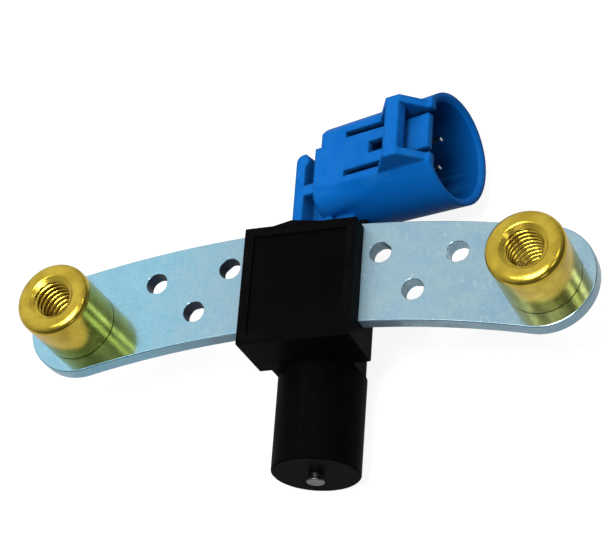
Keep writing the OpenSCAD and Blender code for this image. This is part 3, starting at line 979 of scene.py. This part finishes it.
@dataclass
class ThreadedBush:
    """A turned brass bush with a countersunk, threaded bore, riveted through the plate; lengths in mm.

    A larger thread_gain widens the thread's roots, and a larger thread_flat its crests.
    """

    side: Side
    bush_pitch: float = BUSH_PITCH
    head_d: float = 14.2
    head_h: float = 11.5
    edge_r: float = 1.3
    spigot_d: float = 10.4
    rivet_d: float = 12.4
    rivet_h: float = 0.7
    rivet_edge_r: float = 0.4
    rivet_mouth: float = 0.1
    groove_h: float = 0.18
    groove_depth: float = 0.16
    plate_t: float = PLATE_T
    thread_minor_d: float = 6.65
    thread_major_d: float = 8.0
    thread_pitch: float = 1.25
    thread_gain: float = 1.35
    thread_flat: float = 0.2
    countersink_d: float = 8.8
    crown_r: float = 5.1
    countersink_angle: float = 120.0
    columns: int = 144
    bore_rows: int = 300
    crown_steps: int = 25
    rivet_steps: int = 4
    profile_step: float = 0.5

    def outside(self) -> Array:
        """Samples the outer profile from the countersink's rim over the head and down to the riveted end.

        The head is polished to a crown, an arc of an ellipse: at the angle a its radius is the crown's
        plus (head radius - crown radius) * sin a, and it lies edge_r * (1 - cos a) below the top.

        Returns:
            One row of radius and height for each sample.
        """
        head_r = self.head_d / 2
        swell = head_r - self.crown_r
        start = math.asin((self.countersink_d / 2 - self.crown_r) / swell)
        turn = np.linspace(start, math.pi / 2, self.crown_steps + 1)
        crown_drop = self.edge_r * (1.0 - np.cos(turn))
        rivet_inset, rivet_depth, _ = quarter_turn(self.rivet_edge_r, self.rivet_steps)
        groove_r = head_r - self.groove_depth
        spigot_r = self.spigot_d / 2
        back = -self.plate_t - self.rivet_h
        rivet_r = self.rivet_d / 2
        corners = np.concatenate([
            np.stack([self.crown_r + swell * np.sin(turn), self.head_h - crown_drop], axis=-1),
            [[head_r, self.groove_h], [groove_r, self.groove_h], [groove_r, 0.0], [spigot_r, 0.0]],
            [[spigot_r, -self.plate_t], [rivet_r, -self.plate_t]],
            np.stack([rivet_r - rivet_inset[::-1], back + rivet_depth[::-1]], axis=-1),
            [[self.thread_major_d / 2 + self.rivet_mouth, back]],
        ])
        return fill_profile(corners, self.profile_step)

    def bore(self, outside: Array) -> tuple[Array, Array]:
        """Works out the threaded bore from the riveted end up to the countersink's rim.

        At the height z and the angle a the thread's radius is the minor radius plus the thread's depth
        times a share. The share is thread_gain times a cosine wave, from 0 to 1, of (z / pitch - a / 360
        degrees), less thread_flat, and is held between 0 and 1. Both mouths are cones, and the bore takes
        the larger of the two radii.

        Args:
            outside: The outer profile, whose two ends the bore joins.

        Returns:
            The radius on the grid of heights and angles, and the heights.
        """
        minor = self.thread_minor_d / 2
        depth = (self.thread_major_d - self.thread_minor_d) / 2
        low = outside[-1, 1]
        top = outside[0, 1]
        height = np.linspace(low, top, self.bore_rows)
        share = np.arange(self.columns) / self.columns
        phase = height[:, None] / self.thread_pitch - share[None, :]
        wave = 0.5 + 0.5 * np.cos(2.0 * math.pi * phase)
        thread = minor + depth * np.clip(self.thread_gain * wave - self.thread_flat, 0.0, 1.0)
        slope = math.tan(math.radians(self.countersink_angle / 2))
        top_cone = self.countersink_d / 2 - (top - height) * slope
        low_cone = outside[-1, 0] - (height - low)
        cone = np.maximum(top_cone, low_cone)[:, None]
        radius = np.maximum(thread, cone)
        return np.maximum(radius, minor), height

    def build(self, dresser: Dresser) -> Piece:
        """Builds the bush as one closed surface: the outside, then the bore back up to its start.

        Args:
            dresser: Puts the finish on.

        Returns:
            The new piece.
        """
        outside = self.outside()
        bore_r, bore_z = self.bore(outside)
        outer_r = np.repeat(outside[:, :1], self.columns, axis=1)
        radius = np.concatenate([outer_r, bore_r, outer_r[:1]])
        height = np.concatenate([outside[:, 1], bore_z, outside[:1, 1]])
        name = f"{self.side.name.lower()}_brass_bush"
        centre = Vector((self.side.value * self.bush_pitch / 2, 0.0, 0.0))
        piece = turned_piece(name, radius, height, Axis.ALONG_Z, centre)
        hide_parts(f"{self.side.name.lower()}_bush")
        dresser.dress(piece, BRASS)
        return piece


@dataclass
class PolePin:
    """The steel pin along the nose's axis, with its rimmed tip outside the nose; lengths in mm."""

    axis_z: float = -13.05
    tip_y: float = -29.475
    rim_d: float = 3.3
    rim_t: float = 0.5
    neck_d: float = 2.6
    neck_l: float = 3.0
    stem_d: float = 3.6
    stem_l: float = 16.5
    head_d: float = 5.0
    head_t: float = 1.2
    rim_edge_r: float = 0.12
    rim_steps: int = 4
    centre_mark_floor_r: float = 0.25
    centre_mark_r: float = 0.4
    centre_mark_depth: float = 0.05
    columns: int = 64
    profile_step: float = 0.4

    def build(self, dresser: Dresser) -> Piece:
        """Builds the pin as one turned surface, closed on its axis at both ends.

        Args:
            dresser: Puts the finish on.

        Returns:
            The new piece.
        """
        rim_r = self.rim_d / 2
        inset, depth, _ = quarter_turn(self.rim_edge_r, self.rim_steps)
        mark = self.centre_mark_depth
        neck_r = self.neck_d / 2
        stem_r = self.stem_d / 2
        head_r = self.head_d / 2
        stem_end = self.neck_l + self.stem_l
        head_end = stem_end + self.head_t
        corners = np.concatenate([
            [[0.0, mark], [self.centre_mark_floor_r, mark], [self.centre_mark_r, 0.0]],
            np.stack([rim_r - inset, depth], axis=-1),
            np.stack([rim_r - inset[::-1], self.rim_t - depth[::-1]], axis=-1),
            [[neck_r, self.rim_t], [neck_r, self.neck_l], [stem_r, self.neck_l]],
            [[stem_r, stem_end], [head_r, stem_end], [head_r, head_end], [0.0, head_end]],
        ])
        profile = fill_profile(corners, self.profile_step)
        radius = np.repeat(profile[:, :1], self.columns, axis=1)
        centre = Vector((0.0, self.tip_y, self.axis_z))
        piece = turned_piece("pole_pin", radius, profile[:, 1], Axis.ALONG_Y, centre)
        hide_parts("pole_piece")
        dresser.dress(piece, POLE_STEEL)
        return piece


@dataclass
class Moulding:
    """A moulded or pressed piece: the CAD shape with the soft edges that its tool leaves; lengths in mm."""

    node: str
    name: str
    slot: str
    finish: Finish
    edge: float
    segments: int = 3

    def build(self, dresser: Dresser) -> Piece:
        """Builds the piece from the CAD node and dresses it.

        Args:
            dresser: Puts the finish on.

        Returns:
            The new piece.
        """
        piece = softened_copy(self.node, self.name, self.edge, self.segments)
        dresser.dress(piece, self.finish)
        return piece


class CoilStack:
    """The pieces inside the nose, which stay as the CAD made them and only get their finishes."""

    FINISHES: dict[str, Finish] = {
        "magnet": MAGNET_ALLOY,
        "coil_bobbin": BOBBIN,
        "coil_winding": COPPER,
        "winding_tape": TAPE,
        "solder_joints": SOLDER,
    }

    def build(self, dresser: Dresser) -> list[Piece]:
        """Dresses the inner pieces.

        Args:
            dresser: Puts the finishes on.

        Returns:
            The pieces.
        """
        pieces = [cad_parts[name] for name in self.FINISHES]
        for piece, finish in zip(pieces, self.FINISHES.values()):
            dresser.dress(piece, finish)
        return pieces


@dataclass(frozen=True)
class Softbox:
    """A square studio light that faces the part: its place and side in metres, its power in watts."""

    name: str
    place: Point
    side: float
    watts: float
    tint: Colour = (1.0, 1.0, 1.0)

    def hang(self) -> None:
        """Puts the light into the scene, turned towards the origin."""
        lamp = bpy.data.lights.new(self.name, "AREA")
        lamp.size = self.side
        lamp.energy = self.watts
        lamp.color = self.tint
        holder = add_object(self.name, lamp)
        holder.location = self.place
        holder.rotation_euler = (-Vector(self.place)).to_track_quat("-Z", "Y").to_euler()


SOFTBOXES = (
    Softbox("key_softbox", (0.03, -0.1, 0.64), 0.24, 3.2, (1.0, 0.99, 0.97)),
    Softbox("edge_strip", (-0.2, -0.1, 0.62), 0.1, 0.16),
    Softbox("front_softbox", (0.35, -0.455, 0.39), 0.16, 0.1),
    Softbox("right_strip", (0.35, 0.14, 0.58), 0.1, 0.12),
    Softbox("low_strip", (0.385, -0.07, 0.58), 0.1, 0.1),
)


@dataclass
class Studio:
    """The floor, the room, the lights and the camera; lengths in metres.

    The camera's axes are those of the photograph: right and down in the picture, and forward into it.
    """

    floor_z: float
    floor_size: float = 3.0
    floor_dark: Colour = (0.18, 0.18, 0.185)
    floor_light: Colour = (0.2, 0.2, 0.2)
    floor_clouds: float = 3.0
    floor_roughness: float = 0.7
    glow_seen: float = 0.9
    glow_mirrored: float = 0.45
    bright_side: Point = (-0.501, 0.601, 0.622)
    dim_until: float = 0.1
    bright_from: float = 0.95
    room_dim: Colour = (0.13, 0.13, 0.135)
    room_bright: Colour = (0.86, 0.86, 0.86)
    eye: Point = (0.13123, -0.16406, 0.31299)
    right: Point = (0.93246, 0.06938, -0.35455)
    down: Point = (-0.10060, -0.89271, -0.43926)
    forward: Point = (-0.34699, 0.44526, -0.82543)
    focal_pixels: float = 2122.05
    photo_width: int = 602
    sensor_mm: float = 36.0
    nearest: float = 0.01

    def build(self) -> None:
        """Builds the floor, the room, the lights and the camera."""
        self._floor()
        self._room()
        for softbox in SOFTBOXES:
            softbox.hang()
        self._camera()
        bpy.context.scene.view_settings.view_transform = "Standard"

    def _floor(self) -> None:
        """Lays the pale floor, a square of four corners under the part, which glows white to the camera."""
        half = self.floor_size / 2
        corners = np.array([[-half, -half], [half, -half], [half, half], [-half, half]])
        points = np.column_stack([corners, np.full(4, self.floor_z)]) / MM
        mesh = surface_mesh("pale_floor", points, [np.array([[0, 1, 2, 3]])])
        floor = add_object("pale_floor", mesh)
        material, sheet, shader = new_material("pale_floor")
        place = sheet.add("ShaderNodeTexCoord").outputs["Object"]
        cloud = sheet.noise(place, self.floor_clouds, detail=2.0)
        tint = sheet.blend(cloud, self.floor_dark, self.floor_light)
        sheet.feed(shader, {"Base Color": tint, "Roughness": self.floor_roughness})
        path = sheet.add("ShaderNodeLightPath")
        seen = sheet.math("MULTIPLY", path.outputs["Is Camera Ray"], self.glow_seen)
        mirrored = sheet.math("MULTIPLY", path.outputs["Is Glossy Ray"], self.glow_mirrored)
        glow = sheet.math("ADD", seen, mirrored)
        sheet.feed(shader, {"Emission Color": (1.0, 1.0, 1.0, 1.0), "Emission Strength": glow})
        mesh.materials.append(material)
        floor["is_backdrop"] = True

    def _room(self) -> None:
        """Lights the room: bright towards a white wall behind the part, dim on the other side.

        The share of brightness rises with the cosine of the angle to bright_side, from dim_until to
        bright_from.
        """
        world = bpy.data.worlds.new("studio_room")
        bpy.context.scene.world = world
        world.use_nodes = True
        sheet = Sheet(world.node_tree)
        way = sheet.add("ShaderNodeTexCoord").outputs["Generated"]
        facing = sheet.add("ShaderNodeVectorMath", {0: way, 1: self.bright_side}, operation="DOT_PRODUCT")
        share = sheet.spread(facing.outputs["Value"], self.dim_until, self.bright_from, 0.0, 1.0)
        colour = sheet.blend(share, self.room_dim, self.room_bright)
        sheet.feed(world.node_tree.nodes["Background"], {"Color": colour})

    def _camera(self) -> None:
        """Sets the camera where the photograph was taken from."""
        lens = bpy.data.cameras.new("photo_camera")
        lens.sensor_fit = "HORIZONTAL"
        lens.sensor_width = self.sensor_mm
        lens.lens = self.sensor_mm * self.focal_pixels / self.photo_width
        lens.clip_start = self.nearest
        camera = add_object("photo_camera", lens)
        turn = Matrix((self.right, -Vector(self.down), -Vector(self.forward))).transposed()
        camera.matrix_world = Matrix.Translation(self.eye) @ turn.to_4x4()
        bpy.context.scene.camera = camera


def main() -> None:
    """Builds every piece in order, then the studio."""
    logging.basicConfig(level=logging.INFO, format="%(name)s: %(message)s")
    cad_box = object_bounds()
    dresser = Dresser(EffectKit())
    sub_assemblies = [
        BracketPlate(),
        ThreadedBush(Side.LEFT),
        ThreadedBush(Side.RIGHT),
        Moulding("sensor_housing", "black_housing", "black_moulding", BLACK, edge=0.3),
        Moulding("connector_shell", "blue_socket", "blue_moulding", BLUE, edge=0.25),
        Moulding("upper_terminal", "upper_pin", "tinned_terminal", TINNED, edge=0.12, segments=2),
        Moulding("lower_terminal", "lower_pin", "tinned_terminal", TINNED, edge=0.12, segments=2),
        PolePin(),
        CoilStack(),
    ]
    for sub_assembly in sub_assemblies:
        built = sub_assembly.build(dresser)
        for piece in built if isinstance(built, list) else [built]:
            LOG.info("%s: %d faces", piece.name, len(piece.data.polygons))
    Studio(floor_z=cad_box[0][2]).build()


if __name__ == "__main__":
    main()
